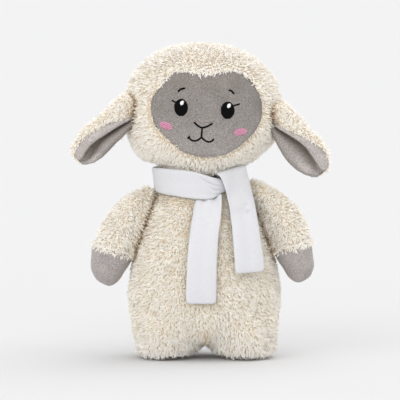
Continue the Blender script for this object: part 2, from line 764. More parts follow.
thickness.thickness, thickness.offset = 1.5 * MM, -1
evaluated(face_cloth)
dress(face_cloth, face_velour, "head", "velour", "face_panel")
print("face", [round(s / MM, 1) for s in face_cloth.dimensions], "mm")

# %% [markdown]
# ## Embroidery
# The features are machine embroidery: rows of thread side by side. A filled shape such as an eye
# is satin stitch, whose threads run across the shape and dive into the cloth at its edge. A line
# such as the mouth is the same stitch over a narrow path. Every thread is modelled, because their
# ends give the edge its fine teeth.

# %% Thread materials and stitches
def thread_material(name, light, dark, roughness=0.5, sheen=0.1, gloss=0.18):
    made, tree, shader = material(name, roughness)
    where = node(tree, "ShaderNodeTexCoord")
    twist = node(tree, "ShaderNodeTexNoise", {"Scale": 2600.0, "Detail": 2.0})
    tree.links.new(where.outputs["Object"], twist.inputs["Vector"])
    shades = ramp(tree, twist.outputs["Fac"], [(0.35, dark), (0.65, light)])
    tree.links.new(shades, shader.inputs["Base Color"])
    roughened(tree, shader, twist.outputs["Fac"], 0.3, 0.0001)
    cloth_gloss(shader, gloss, sheen)
    return made


# Each thread under the name of its slot in the record.
THREADS = {
    "black_thread": thread_material(
        "black_thread", colour(13, 12, 14), colour(4, 4, 5), 0.65, 0.0, 0.08
    ),
    "white_thread": thread_material("white_thread", colour(250, 250, 250), colour(232, 233, 236)),
    "pink_thread": thread_material("pink_thread", colour(240, 180, 202), colour(190, 112, 147)),
}


def on_face(x, z, rise):
    spot, normal, _, _ = face_tree.ray_cast(Vector((x, -0.2, z)), Vector((0, 1, 0)))
    if normal.y > 0:
        normal = -normal
    return spot + normal * rise, normal


def strand(start, end, wide, rise, base=0.0):
    """One thread laid over the cloth from start to end: points of its rings, tip to tip."""
    steps = max(4, int(math.dist(start, end) / (1.1 * MM)) + 2)
    way = Vector((end[0] - start[0], 0, end[1] - start[1])).normalized()
    rows = []
    for k in range(steps + 1):
        share = k / steps
        arch = math.sqrt(max(0.0, 1 - (2 * share - 1) ** 4))
        x = start[0] + (end[0] - start[0]) * share
        z = start[1] + (end[1] - start[1]) * share
        spot, normal = on_face(x, z, base + rise * arch - 0.25 * MM)
        cross = normal.cross(way).normalized()
        half, thick = wide / 2, (0.28 + 0.22 * arch) * wide
        rows.append([
            spot + cross * half * math.cos(t) + normal * thick * math.sin(t)
            for t in (math.pi * i / 3 for i in range(6))
        ])
    return rows


def threads(name, strands):
    points, faces = [], []
    for rows in strands:
        start = len(points)
        points += [p for row in rows for p in row]
        last = start + 6 * (len(rows) - 1)
        for k in range(len(rows) - 1):
            for i in range(6):
                m, n = start + 6 * k + i, start + 6 * k + (i + 1) % 6
                faces += [(m, m + 6, n + 6), (m, n + 6, n)]
        faces += [(start, start + i, start + i + 1) for i in range(1, 5)]
        faces += [(last, last + i + 1, last + i) for i in range(1, 5)]
    return cleaned(build(name, points, faces))


def satin(outline, angle, pitch, rise, base=0.0, cover=1.3):
    """Threads across a closed outline, side by side at the pitch."""
    draw = np.random.default_rng(1)
    outline = np.array(outline)
    way = np.array([math.cos(angle), math.sin(angle)])
    off = np.array([-way[1], way[0]])
    s, t = outline @ way, outline @ off
    found = []
    for level in np.arange(t.min() + pitch / 2, t.max(), pitch):
        cuts = []
        for i in range(len(t)):
            j = (i + 1) % len(t)
            if (t[i] - level) * (t[j] - level) < 0:
                part = (level - t[i]) / (t[j] - t[i])
                cuts.append(s[i] + part * (s[j] - s[i]))
        if len(cuts) > 1:
            low = min(cuts) - draw.uniform(-0.1, 0.35) * MM
            high = max(cuts) + draw.uniform(-0.1, 0.35) * MM
            if high - low > 0.5 * MM:
                p, q = way * low + off * level, way * high + off * level
                found.append(strand(p, q, cover * pitch, rise, base))
    return found


LINE_PITCH = 0.36 * MM
LINE_SLANT = 0.35


def satin_line(places, wide, rise):
    """Short threads across a path, like a narrow rope of satin stitch."""
    places = np.array(places)
    lengths = np.concatenate([[0], np.cumsum(np.linalg.norm(np.diff(places, axis=0), axis=1))])
    found = []
    for far in np.arange(0, lengths[-1], LINE_PITCH):
        behind, spot, ahead = (
            np.array([np.interp(far + step, lengths, places[:, i]) for i in range(2)])
            for step in (-0.4 * MM, 0, 0.4 * MM)
        )
        way = (ahead - behind) / max(np.linalg.norm(ahead - behind), 1e-9)
        off = np.array([-way[1], way[0]]) + LINE_SLANT * way
        found.append(strand(spot - off * wide / 2, spot + off * wide / 2, 1.5 * LINE_PITCH, rise))
    return found


def oval(centre, wide, tall, tilt):
    """An oval's outline, of a given width and height in mm."""
    c, s = math.cos(tilt), math.sin(tilt)
    angles = np.linspace(0, 2 * math.pi, 41)[:-1]
    ring = [(wide * MM / 2 * math.cos(t), tall * MM / 2 * math.sin(t)) for t in angles]
    return [(centre.x + x * c - z * s, centre.z + x * s + z * c) for x, z in ring]


def padded_ends(places):
    """The places with one more at each end, so that a smooth path can start and end at them."""
    return np.vstack([2 * places[0] - places[1], places, 2 * places[-1] - places[-2]])


def between(p0, p1, p2, p3, t):
    """A point on the smooth path from p1 to p2, a share t along it."""
    return 0.5 * (
        2 * p1 + (p2 - p0) * t + (2 * p0 - 5 * p1 + 4 * p2 - p3) * t**2
        + (3 * p1 - p0 - 3 * p2 + p3) * t**3
    )


HEAD_ROLL = math.radians(3.5)
HEAD_BASE = 145


def rolled(x, z):
    """Turned as the head is, which tilts a little to its left."""
    c, s = math.cos(HEAD_ROLL), math.sin(HEAD_ROLL)
    return x * c + z * s, z * c - x * s


def curve(places, count=40):
    """A smooth path through the places, which are across from the head's middle and up, in mm."""
    places = np.array(places, float)
    padded = padded_ends(places)
    found = []
    for mark in np.linspace(0, len(places) - 1, count):
        i = min(int(mark), len(places) - 2)
        found.append(between(*padded[i : i + 4], mark - i))
    x, z = rolled(*np.array(found).T)
    return np.stack([x, z + HEAD_BASE], 1) * MM


# %% Eyes, cheeks and lines
PITCH = 0.42 * MM
SATIN_WAY = 1.35 - HEAD_ROLL
BROWS = {
    "left": [(18.5, 69.3), (20.4, 68.6), (22.3, 66.6)],
    "right": [(-15.8, 68.5), (-18.6, 67.9), (-21.1, 65.8)],
}
LASHES = {"left": [(22.4, 57.2), (27.2, 58.9)], "right": [(-22.4, 57.2), (-25.4, 58.6)]}
NOSE = [(-7.1, 42.7), (-3.8, 40.1), (-0.7, 39), (3.2, 40.3), (7.1, 42.8)]
PHILTRUM = [(-0.7, 39.4), (-0.8, 31.5)]
MOUTH_RIGHT = [(-10.5, 30.7), (-8.3, 28.7), (-5.2, 28.4), (-2.4, 29.9), (-0.8, 31.5)]
MOUTH_LEFT = [(-0.8, 31.5), (1.6, 29.5), (4.5, 28.2), (7.1, 28.8), (8.8, 30.6)]
MOUTH_END = [(-11.4, 29.9), (-9.7, 31.7)]


def stitched(name, strands, slot):
    """Sews one feature of the face with the thread of its slot."""
    dress(threads(name + "_stitches", strands), THREADS[slot], "head", slot, name)


for name, side in SIDES:
    lower = Vector((0, 0, -1.7 * MM))
    eye = oval(centre_of(name + "_eye") + lower, 10.6, 13.9, -HEAD_ROLL)
    stitched(name + "_eye", satin(eye, SATIN_WAY, PITCH, 0.55 * MM), "black_thread")
    spot = centre_of(name + "_eye_highlight") + lower + Vector((0.6 * MM, 0, 0.1 * MM))
    glint = satin(oval(spot, 2.5, 3.6, -HEAD_ROLL - 0.25), SATIN_WAY, PITCH, 0.5 * MM, 0.55 * MM)
    stitched(name + "_eye_highlight", glint, "white_thread")
    tilt = math.radians(16 * side) - HEAD_ROLL
    spot = centre_of(name + "_cheek") + Vector((0, 0, -1.9 * MM - 0.6 * side * MM))
    blush = satin(oval(spot, 9.9, 5.6, tilt), tilt + 0.75, 1.3 * MM, 1.0 * MM, cover=0.92)
    stitched(name + "_cheek", blush, "pink_thread")
    stitched(name + "_brow", satin_line(curve(BROWS[name]), 1.7 * MM, 0.45 * MM), "black_thread")
    stitched(name + "_lash", satin_line(curve(LASHES[name]), 1.45 * MM, 0.4 * MM), "black_thread")
lines = []
for places in (NOSE, PHILTRUM, MOUTH_RIGHT, MOUTH_LEFT, MOUTH_END):
    lines += satin_line(curve(places), 1.6 * MM, 0.45 * MM)
stitched("nose_and_mouth", lines, "black_thread")
print("threads in the nose and mouth:", len(lines))

# %% [markdown]
# ## Ears
# An ear is two leaves sewn together: fur outside and velour inside. It hangs from a short sewn
# root, and is folded along its length there, so that the upper part of the lining curls over the
# lower lobe. Each ear is drawn in its own frame, along it, up across it and forward, and then
# placed on its side of the head.

# %% Ear frame and sections
EAR_LONG = 57 * MM
EAR_ROOT = (58.0, -19.0, 47.6)
EAR_DROOP = math.radians(45.5)
PILE_DEEP = 2.4 * MM
# Along the ear as a share of its length; then across it in mm: the fur's upper edge, the lining's
# lower edge and upper edge, the lip of the fold, and the bottom of the fold.
EAR_TABLES = {
    "left": np.array([
        (-0.14, 12.4, -8.0, -6.4, -6.5, -7.6), (0.05, 14.0, -10.6, -5.9, -6.0, -7.2),
        (0.15, 14.3, -12.2, -4.1, -4.5, -6.0), (0.30, 14.2, -14.4, -0.2, -1.7, -3.6),
        (0.45, 14.1, -16.3, 4.3, 0.9, -1.1), (0.58, 15.3, -16.8, 7.2, 1.9, -0.4),
        (0.72, 14.6, -15.8, 9.2, 1.0, -1.6), (0.84, 12.8, -13.2, 8.4, 0.0, -2.8),
        (0.93, 8.8, -10.0, 6.3, -1.0, -3.6), (0.985, 4.4, -6.4, 3.0, -1.8, -3.6),
    ]),
    "right": np.array([
        (-0.14, 14.4, -6.0, -5.6, -5.7, -6.6), (0.05, 15.4, -9.2, -5.2, -5.3, -6.6),
        (0.15, 15.2, -10.0, -2.6, -3.6, -5.2), (0.30, 14.4, -10.8, 2.0, -1.7, -3.6),
        (0.45, 14.7, -11.0, 5.3, -0.3, -2.4), (0.58, 15.4, -11.8, 6.6, 1.0, -2.0),
        (0.72, 14.6, -12.0, 7.2, 1.4, -4.5), (0.84, 13.0, -10.6, 6.6, 0.0, -7.0),
        (0.93, 11.4, -8.0, 5.0, -2.4, -7.0), (0.985, 8.4, -4.8, 1.8, -3.0, -4.6),
    ]),
}


def ear_values(name, share):
    table = EAR_TABLES[name]
    return [np.interp(share, table[:, 0], table[:, i]) for i in range(1, 6)]


def ear_place(side, along, across, forward):
    """From an ear's own frame into the toy's, with the head's roll. All in metres."""
    x = EAR_ROOT[0] * MM + along * math.cos(EAR_DROOP) + across * math.sin(EAR_DROOP)
    z = EAR_ROOT[2] * MM - along * math.sin(EAR_DROOP) + across * math.cos(EAR_DROOP)
    z += 2.4 * MM if side > 0 else 0
    x, z = rolled(side * x, z)
    return x, EAR_ROOT[1] * MM - forward, z + HEAD_BASE * MM


def spline(places, count):
    """Evenly spaced points on a smooth path through the given places."""
    places = np.array(places, float)
    padded, steps = padded_ends(places), np.linspace(0, 1, 12, endpoint=False)
    fine = [between(*padded[i : i + 4], t) for i in range(len(places) - 1) for t in steps]
    fine = np.array(fine + [places[-1]])
    far = np.concatenate([[0], np.cumsum(np.linalg.norm(np.diff(fine, axis=0), axis=1))])
    even = np.linspace(0, far[-1], count)
    return np.stack([np.interp(even, far, fine[:, i]) for i in range(places.shape[1])], 1)


def lining_section(name, share):
    """The lining across the ear: a raised strip, a lip that rolls under, the fold and the lobe."""
    _, bottom, top, lip, fold = ear_values(name, share)
    tip = np.clip((1.0 - share) / 0.16, 0.05, 1) ** 0.6
    folded = np.clip((1.02 - share) / 0.3, 0, 1)
    open_strip = np.clip((top - lip) / 2.5, 0, 1)
    high = 4.9 * tip * (0.55 + 0.45 * folded)
    low = -3.2 * tip * folded
    lobe = 2.6 * tip
    strip = max(top - lip, 0.3)
    return [
        (top, 2.4 * tip), (top - 0.35 * strip, high - 0.5 * open_strip), (lip + 0.25 * strip, high),
        (lip, high - 0.5), (lip + 0.2 * folded, high - 1.6 * folded - 0.3),
        (lip + 1.1 * folded, high - 3.0 * folded - 0.4), (lip + 0.8 * folded - 0.4, 0.5 * low),
        (fold, low), (0.8 * fold + 0.2 * bottom, 0.45 * low + 0.1 * lobe),
        (0.5 * fold + 0.5 * bottom, 0.9 * lobe), (0.2 * fold + 0.8 * bottom, lobe), (bottom, 0.1),
    ]


def leaf_section(name, share):
    """The fur side round the ear. The first part lies behind the lining and carries no pile."""
    up, bottom, top, lip, fold = ear_values(name, share)
    tip = np.clip((1.03 - share) / 0.2, 0.05, 1) ** 0.6
    skin = PILE_DEEP / MM
    edge = up - skin
    hidden = [
        (top + 0.3, 2.2 * tip), (top - 0.9, 0.9 * tip), ((top + lip) / 2, 0.2 * tip - 0.6),
        (lip + 0.4, -3.4 * tip), (fold, -5.0 * tip), (fold - 2, -2.6 * tip),
        ((fold + bottom) / 2, -0.6 * tip), (bottom + 1.2, -1.6 * tip),
    ]
    furred = [
        (bottom + 1.0, -2.2 * tip), (0.75 * bottom, -4.4 * tip), (0.3 * bottom, -6.0 * tip),
        (0.2 * edge, -6.0 * tip), (0.65 * edge, -4.9 * tip), (edge - 0.8, -2.4 * tip), (edge, 0.2),
        (edge - 0.5, 1.8 * tip), (top + (edge - top) * 0.7, 3.2 * tip),
        (top + (edge - top) * 0.35, 3.6 * tip), (top + 0.8, 3.1 * tip),
    ]
    return hidden, furred


# %% Ear pieces
def swept(rows, side, closed):
    """Points and faces of a skin over rows of points in an ear's frame, in mm."""
    grid = np.array([
        [ear_place(side, share * EAR_LONG, v * MM, w * MM) for v, w in row] for share, row in rows
    ])
    count, wide = grid.shape[:2]
    faces = []
    for i in range(count - 1):
        for j in range(wide if closed else wide - 1):
            k = (j + 1) % wide
            quad = (i * wide + j, i * wide + k, (i + 1) * wide + k, (i + 1) * wide + j)
            faces.append(quad if side > 0 else quad[::-1])
    return grid.reshape(-1, 3), faces


def ear_root(side):
    """Where an ear starts to bend, and where it has left the head's turn behind."""
    return Vector(ear_place(side, 0.0, 0, 0)), Vector(ear_place(side, 0.28 * EAR_LONG, 0, 0))


head_tree = tree_of(head_skin)
ear_leaves = {}
for name, side in SIDES:
    body = name + "_ear"
    start, end = ear_root(side)
    along = np.linspace(-0.04, 0.972, 70)
    rows = [(share, spline(lining_section(name, share), 64)) for share in along]
    points, faces = swept(rows, side, False)
    # The fold map: how far forward a point lies, less near the root and in the lower lobe.
    depth = np.array([row[:, 1] for _, row in rows])
    along = along[:, None]
    shown = np.clip((depth + 3.2 - np.clip(0.24 - along, 0, 1) * 12) / 6.0, 0.02, 0.98)
    shown[:, 30:] -= (0.5 if side > 0 else 0.68) * np.clip(1 - along / 0.8, 0, 1)
    shown[:, :22] = 0.98
    shown -= 1.2 * np.clip(1 - along / 0.09, 0, 1)
    shown = np.clip(shown, 0.02, 0.98)
    fold_map = np.stack([shown, np.full_like(shown, 0.5)], 2).reshape(-1, 2)
    lining = build(name + "_ear_lining_cloth", points, faces, ("fold", fold_map))
    thick = lining.modifiers.new("cloth", "SOLIDIFY")
    thick.thickness, thick.offset = 1.0 * MM, 1
    evaluated(lining)
    dress(lining, lining_velour, body, "velour", name + "_ear_lining")

    leaf_rows, fur_rows = [], []
    for share in np.linspace(-0.14, 0.985, 46):
        hidden, furred = leaf_section(name, min(share, 0.985))
        leaf_rows.append((share, np.vstack([spline(hidden, 20), spline(furred, 44)])))
        fur_rows.append((share, spline(furred, 44)))
    middle = np.mean(leaf_rows[-1][1], 0)
    leaf_rows.append((0.99, middle + 0.5 * (leaf_rows[-1][1] - middle)))
    leaf = cleaned(build(name + "_ear_leaf", *swept(leaf_rows, side, True)), 0.02 * MM, True)
    dress(leaf, backing, body, "fur_cloth", name + "_ear_fur")
    ear_leaves[name] = leaf

    patch = build("patch", *swept(fur_rows, side, False))
    origin = np.array(ear_place(side, 0, 0, 0))
    along, up, forward = (np.array(ear_place(side, *step)) - origin for step in np.eye(3))
    places, ways = spread(*surface_of(patch), 0.92 * MM, 40 + side)
    middles = origin + np.outer((places - origin) @ along, along) - 1.0 * MM * forward
    if ((places - middles) * ways).sum() < 0:
        ways = -ways
    bpy.data.objects.remove(patch)
    found = [head_tree.find_nearest(Vector(p)) for p in places]
    outside = [(Vector(p) - f[0]).dot(f[1]) >= 0.4 * MM for p, f in zip(places, found)]
    places, ways, gap = (v[outside] for v in (places, ways, np.array([f[3] for f in found])))
    height = (places - origin) @ up
    down = np.clip(0.25 - height / (10 * MM), -0.4, 0.5)[:, None]
    comb = along - 0.3 * up + down * up
    crease = np.exp(-((gap / (5.0 * MM)) ** 2)) * np.clip(0.9 - height / (14 * MM), 0, 1)
    hairs = pile(
        name + "_ear_fur_pile", body, places, ways, comb, 3.9 * MM, (56, 26),
        tones(0.9, crease, 80 + side), 50 + side,
    )
    for piece in (lining, leaf, *hairs):
        piece.parent = None
        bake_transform(piece)

# %% [markdown]
# ## Arms
# An arm is a sleeve of fur over a velour mitten, both filled. One skin is made for the whole arm,
# and cut at the cuff, where the fur ends. The mitten keeps its full size; the sleeve's skin lies
# deeper, because its fur stands on it.

# %% Arm skins, sleeves and mittens
CUFF_SLOPE = math.radians(15)


def cuff_height(side, points):
    """How far above the cuff's slanting edge each point lies."""
    anchor = np.array([(2.4 + side * 75.6) * MM, 0, (84 + (3 if side > 0 else 0)) * MM])
    above = np.array([-side * math.sin(CUFF_SLOPE), 0, math.cos(CUFF_SLOPE)])
    return (points - anchor) @ above


body_tree = tree_of(body_skin)
sleeves, shoulder_bends = {}, {}
for name, side in SIDES:
    solids = (name + "_sleeve", name + "_mitten", name + "_arm_filling")
    arm = smooth(joined(name + "_arm_skin", solids, 1.6 * MM), 7)
    puffed(arm, points_of(arm)[:, 2] > 118 * MM, 0.8 * MM, pressure=3.0)
    points, height = points_of(arm), cuff_height(side, points_of(arm))
    # The side seam runs round the mitten in the plane between its two halves.
    seam = np.abs(points[:, 1] + 4 * MM)
    pulled = 0.55 * MM * np.exp(-((seam / (0.9 * MM)) ** 2)) * (height < 1 * MM)
    wrinkle = 0.18 * MM * waves(points, 7 * MM, 9) * np.exp(-((height / (7 * MM)) ** 2))
    # Against the body the arm presses into its pile, so no light shows between them.
    gap = distances(body_tree, points) - FUR_HEIGHT
    pressed = np.exp(-((np.maximum(gap, 0) / (4 * MM)) ** 2))
    over_cuff = np.clip((height - 1.2 * MM) / (3.0 * MM), 0, 1)
    deep = over_cuff * FUR_HEIGHT * (1 - 1.6 * pressed)
    # The shoulder is full up to the band; the left cuff is slimmer outside.
    top = swell(points, 54, 141, 11, 8) if side > 0 else swell(points, -38, 141, 6, 8)
    deep += (3.0 * swell(points, 91, 84, 9, 17) - 2.0 * top) * MM
    set_points(arm, points - normals_of(arm) * (pulled + wrinkle + deep - 0.5 * MM)[:, None])
    if side > 0:
        # The left shoulder reaches in to the neck, so no gap shows between it and the band.
        points = points_of(arm)
        near, neck = (swell(points, *at, 9, 10)[:, None] for at in ((50, 138), (42, 135)))
        moved = near * np.array([-5.5, 0, 2.0]) - 5.0 * neck * [1, 0, 0]
        set_points(arm, points + moved * MM)
    height = cuff_height(side, points_of(arm))
    halves = {}
    for part, kept in (("mitten", height < 4.6 * MM), ("sleeve", height > 1.0 * MM)):
        bm = bmesh.new()
        bm.from_mesh(arm.data)
        bm.verts.ensure_lookup_table()
        bmesh.ops.delete(bm, geom=[bm.verts[i] for i in np.nonzero(~kept)[0]], context="VERTS")
        bmesh.ops.holes_fill(bm, edges=[e for e in bm.edges if e.is_boundary])
        bmesh.ops.triangulate(bm, faces=[f for f in bm.faces if len(f.verts) > 4])
        mesh = bpy.data.meshes.new(name + "_" + part)
        bm.to_mesh(mesh)
        bm.free()
        shade_smooth(mesh)
        halves[part] = bpy.data.objects.new(name + "_" + part + "_skin", mesh)
        scene.collection.objects.link(halves[part])
    bpy.data.objects.remove(arm)
    sleeve = sleeves[name] = halves["sleeve"]
    dress(halves["mitten"], mitten_velour, name + "_arm", "velour", name + "_mitten")
    dress(sleeve, backing, name + "_arm", "fur_cloth", name + "_sleeve")
    places, ways = spread(*surface_of(sleeve), WISP_SPACING, 60 + side)
    # The hem over the mitten is thicker, so a second helping of wisps grows there.
    more, more_ways = spread(*surface_of(sleeve), 0.8 * MM, 64 + side)
    at_hem = np.abs(cuff_height(side, more) - 3.4 * MM) < 1.7 * MM
    places, ways = np.vstack([places, more[at_hem]]), np.vstack([ways, more_ways[at_hem]])
    sunk = distances(body_tree, places)
    keep = (cuff_height(side, places) > 1.7 * MM) & (sunk > 0.8 * MM)
    places, ways, sunk = places[keep], ways[keep], sunk[keep]
    crease = np.exp(-((sunk / (5.5 * MM)) ** 2)) * np.clip(0.6 - places[:, 1] / (20 * MM), 0.25, 1)
    comb = np.tile([0.28 * side, -0.08, -1.0], (len(places), 1))
    hem = np.exp(-np.maximum(cuff_height(side, places), 0) / (3.5 * MM))
    hairs = pile(
        name + "_sleeve_fur_pile", name + "_arm", places, ways, comb, 4.4 * MM * (1 + 0.12 * hem),
        (60 + 8 * hem, 30 - 34 * hem), tones(0.88, crease, 90 + side), 70 + side,
    )
    # The shoulder stays sewn to the body, and the arm bends below it.
    start = Vector((46 * MM, 0, 141 * MM)) if side > 0 else Vector((-42 * MM, 0, 144 * MM))
    end = start + Vector((side * 28 * MM, 0, -34 * MM))
    shoulder_bends[name + "_arm"] = start, end
    for piece in (sleeve, *hairs):
        piece.parent = None
        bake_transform(piece)

# %% [markdown]
# ## Scarf
# The scarf is a strip of fine white jersey, hemmed all round. It goes once round the neck, and
# its ends cross at the front on the toy's left: one comes out under the band, the other over it.
# Cloth this stiff and narrow hangs nearly flat, so its few folds are set by hand: a crease where
# the band is tucked, small gathers at the top of the long end and a dimple at the tack.

# %% Jersey material
jersey, tree, shader = material("white_jersey", 0.8)
strip_place = node(tree, "ShaderNodeUVMap", uv_map="strip")
RIBS = {"Scale": 620.0, "Distortion": 0.4, "Detail": 1.0}
ribs = node(tree, "ShaderNodeTexWave", RIBS, bands_direction="X")
tree.links.new(strip_place.outputs["UV"], ribs.inputs["Vector"])
fluff = node(tree, "ShaderNodeTexNoise", {"Scale": 700.0, "Detail": 3.0})
where = node(tree, "ShaderNodeTexCoord")
tree.links.new(where.outputs["Object"], fluff.inputs["Vector"])
mixed = node(tree, "ShaderNodeMath", {1: 0.5}, operation="MULTIPLY_ADD")
tree.links.new(ribs.outputs["Fac"], mixed.inputs[0])
tree.links.new(fluff.outputs["Fac"], mixed.inputs[2])
JERSEY_SHADES = [(0.3, colour(206, 206, 209)), (0.9, colour(217, 217, 220))]
tree.links.new(ramp(tree, mixed.outputs["Value"], JERSEY_SHADES), shader.inputs["Base Color"])
roughened(tree, shader, mixed.outputs["Value"], 0.25, 0.0002)
cloth_gloss(shader, 0.2, 0.2)


# %% Strips of cloth
def strip(name, middle, normal, thick, closed=False):
    """A closed strip from rows of middle points: front and back sheets joined by round edges."""
    rows, columns = middle.shape[:2]
    across = np.linspace(-1, 1, columns)
    edge_share = np.sqrt(np.maximum(1 - np.abs(across) ** 7, 0.02))
    if closed:
        edge_share = np.tile(edge_share, (rows, 1))
    else:
        along = np.linspace(-1, 1, rows)[:, None]
        edge_share = edge_share[None, :] * np.sqrt(np.maximum(1 - np.abs(along) ** 24, 0.02))
    half = (thick / 2) * edge_share[..., None] * normal
    points = np.concatenate([(middle + half).reshape(-1, 3), (middle - half).reshape(-1, 3)])
    total = rows * columns
    faces = []

    def rim(a, b, flip):
        pair = [(a, total + b, b), (a, total + a, total + b)]
        faces.extend([face[::-1] for face in pair] if flip else pair)

    for i in range(rows if closed else rows - 1):
        a, b = i * columns, (i + 1) % rows * columns
        for j in range(columns - 1):
            front = [(a + j, b + j, b + j + 1), (a + j, b + j + 1, a + j + 1)]
            faces += front + [tuple(total + k for k in (p, r, q)) for p, q, r in front]
        rim(a, b, False)
        rim(a + columns - 1, b + columns - 1, True)
    if not closed:
        for i, flip in ((0, True), (rows - 1, False)):
            for j in range(columns - 1):
                rim(i * columns + j, i * columns + j + 1, flip)
    widths = np.linalg.norm(np.diff(middle, axis=1), axis=2)
    u = np.concatenate([np.zeros((rows, 1)), np.cumsum(widths, 1)], 1)
    lengths = np.linalg.norm(np.diff(middle[:, columns // 2], axis=0), axis=1)
    v = np.tile(np.concatenate([[0], np.cumsum(lengths)])[:, None], (1, columns))
    pairs = np.stack([u, v], 2).reshape(-1, 2)
    return cleaned(build(name, points, faces, ("strip", np.concatenate([pairs, pairs]))))


def surface_normals(grid, closed=False):
    along = np.roll(grid, -1, 0) - np.roll(grid, 1, 0) if closed else np.gradient(grid, axis=0)
    across = np.gradient(grid, axis=1)
    normal = np.cross(across, along)
    return normal / np.maximum(np.linalg.norm(normal, axis=2, keepdims=True), 1e-9)


# %% Neckband
NECK_RADIUS = 33.0 * MM
BAND_THICK = 2.2 * MM
BAND_ROWS, BAND_COLUMNS = 160, 26


def at_turn(turn, table):
    marks, values = zip(*table)
    return np.interp(turn, marks, values)


BAND_TOP = [
    (-180, 150.0), (-90, 150.6), (-53, 151.2), (-28, 150.6), (-13, 150.0), (2, 147.8), (15, 145.2),
    (22, 144.0), (36, 142.5), (50, 146), (90, 150), (180, 150.0),
]
BAND_BOTTOM = [
    (-180, 131.6), (-90, 131.8), (-72, 131.3), (-36, 130.0), (-6, 127.9), (15, 127.2), (25, 129.8),
    (31, 132.4), (40, 133.4), (60, 131.8), (90, 131.6), (180, 131.6),
]
# Each crease: the turn and share down the band where it starts and ends, and its depth in mm.
BAND_CREASES = [(-12, 0.02, 30, 0.46, 0.9), (5, 0.34, 32, 0.78, 0.8), (12, 0.8, 30, 0.93, 0.4)]
band_turns = np.linspace(-180, 180, BAND_ROWS, endpoint=False)
middle = np.empty((BAND_ROWS, BAND_COLUMNS, 3))
for i, turn in enumerate(band_turns):
    around = [((turn + d + 180) % 360) - 180 for d in (-6, -3, 0, 3, 6)]
    top, bottom = (np.mean([at_turn(t, side) for t in around]) for side in (BAND_TOP, BAND_BOTTOM))
    a = math.radians(turn)
    for j, share in enumerate(np.linspace(0, 1, BAND_COLUMNS)):
        z = (top + (bottom - top) * share) * MM
        flare = 1.9 * MM * np.clip((z - 140 * MM) / (9 * MM), 0, 1) ** 1.5
        belly = 0.7 * MM * math.sin(math.pi * share)
        settle = 1.2 * MM * np.clip((131 * MM - z) / (4 * MM), 0, 1)
        r = NECK_RADIUS + BAND_THICK / 2 + flare + belly + settle
        # The tuck: creases run down towards the crossing, each with a soft ridge above it.
        for first, high, last, low, deep in BAND_CREASES:
            far = np.clip((turn - first) / (last - first), 0, 1.3)
            off = share - (high + (low - high) * far)
            strong = min(far * 1.6, 1) * MM * (0 if turn > 60 else 1)
            r -= deep * strong * math.exp(-((off / 0.05) ** 2))
            r += 0.7 * deep * strong * math.exp(-(((off + 0.13) / 0.1) ** 2))
        middle[i, j] = (r * math.sin(a) - 0.8 * MM, -r * math.cos(a), z)
band = strip("scarf_band", middle, -surface_normals(middle, True), BAND_THICK, closed=True)
dress(band, jersey, "torso", "scarf_cloth", "scarf_neckband")

# %% Hanging ends
# Height, left edge and right edge of each end, measured on the photograph, in mm.
LONG_EDGES = np.array([
    (134, -1.6, 16.9), (129.9, -2.8, 16.9), (126, -4.0, 16.8), (120.7, -5.0, 16.7),
    (114.1, -5.9, 16.2), (107.5, -7.2, 15.5), (101, -7.9, 14.5), (94.4, -8.8, 14.0),
    (81.3, -9.9, 13.1), (68.1, -10.5, 12.9), (55, -11.0, 12.8), (46, -10.9, 12.5),
])
SHORT_EDGES = np.array([
    (156, 6.5, 34.9), (150, 11.5, 36.4), (148.3, 12.9, 36.8), (147, 14.3, 37.1), (143, 17.0, 38.2),
    (138.4, 18.8, 39.3), (133.8, 20.4, 40.5), (127.3, 21.8, 42.1), (120.7, 23.2, 43.4),
    (107.5, 24.7, 45.7), (94.4, 25.8, 47.6), (81.3, 26.9, 49.5), (69, 27.4, 50.8),
])


TAIL_THICK = 1.9 * MM
ROWS, COLUMNS = 96, 32


def end_strip(solids, edges, top, bottom, corner):
    """Middle points of a hanging end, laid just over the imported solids' front."""
    found = tree_of(*(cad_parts[s] for s in solids))
    grid = np.empty((ROWS, COLUMNS, 3))
    marks = edges[::-1, 0]
    for j, part in enumerate(np.linspace(0, 1, COLUMNS)):
        # The lower corners are rounded, as turned corners of a hem are.
        low = bottom[0] + (bottom[1] - bottom[0]) * part
        low += corner * (1 - math.sqrt(max(0, 1 - max(0, 1 - min(part, 1 - part) / 0.14) ** 2)))
        high = top[0] + (top[1] - top[0]) * part
        for i, share in enumerate(np.linspace(0, 1, ROWS)):
            z = high + (low - high) * share
            left, right = (np.interp(z, marks, edges[::-1, k]) for k in (1, 2))
            x = (left + (right - left) * part) * MM
            y = hit_y(found, x, z * MM)
            grid[i, j] = (x, np.nan if y is None else y, z * MM)
    for j in range(COLUMNS):
        good = ~np.isnan(grid[:, j, 1])
        if good.any():
            grid[:, j, 1] = np.interp(np.arange(ROWS), np.nonzero(good)[0], grid[good, j, 1])
    for i in range(ROWS):
        good = ~np.isnan(grid[i, :, 1])
        grid[i, :, 1] = np.interp(np.arange(COLUMNS), np.nonzero(good)[0], grid[i, good, 1])
    for _ in range(14):
        inner = grid[:, :, 1].copy()
        inner[1:-1] += 0.5 * ((grid[:-2, :, 1] + grid[2:, :, 1]) / 2 - grid[1:-1, :, 1])
        inner[:, 1:-1] += 0.5 * ((inner[:, :-2] + inner[:, 2:]) / 2 - inner[:, 1:-1])
        grid[:, :, 1] = inner
    return grid


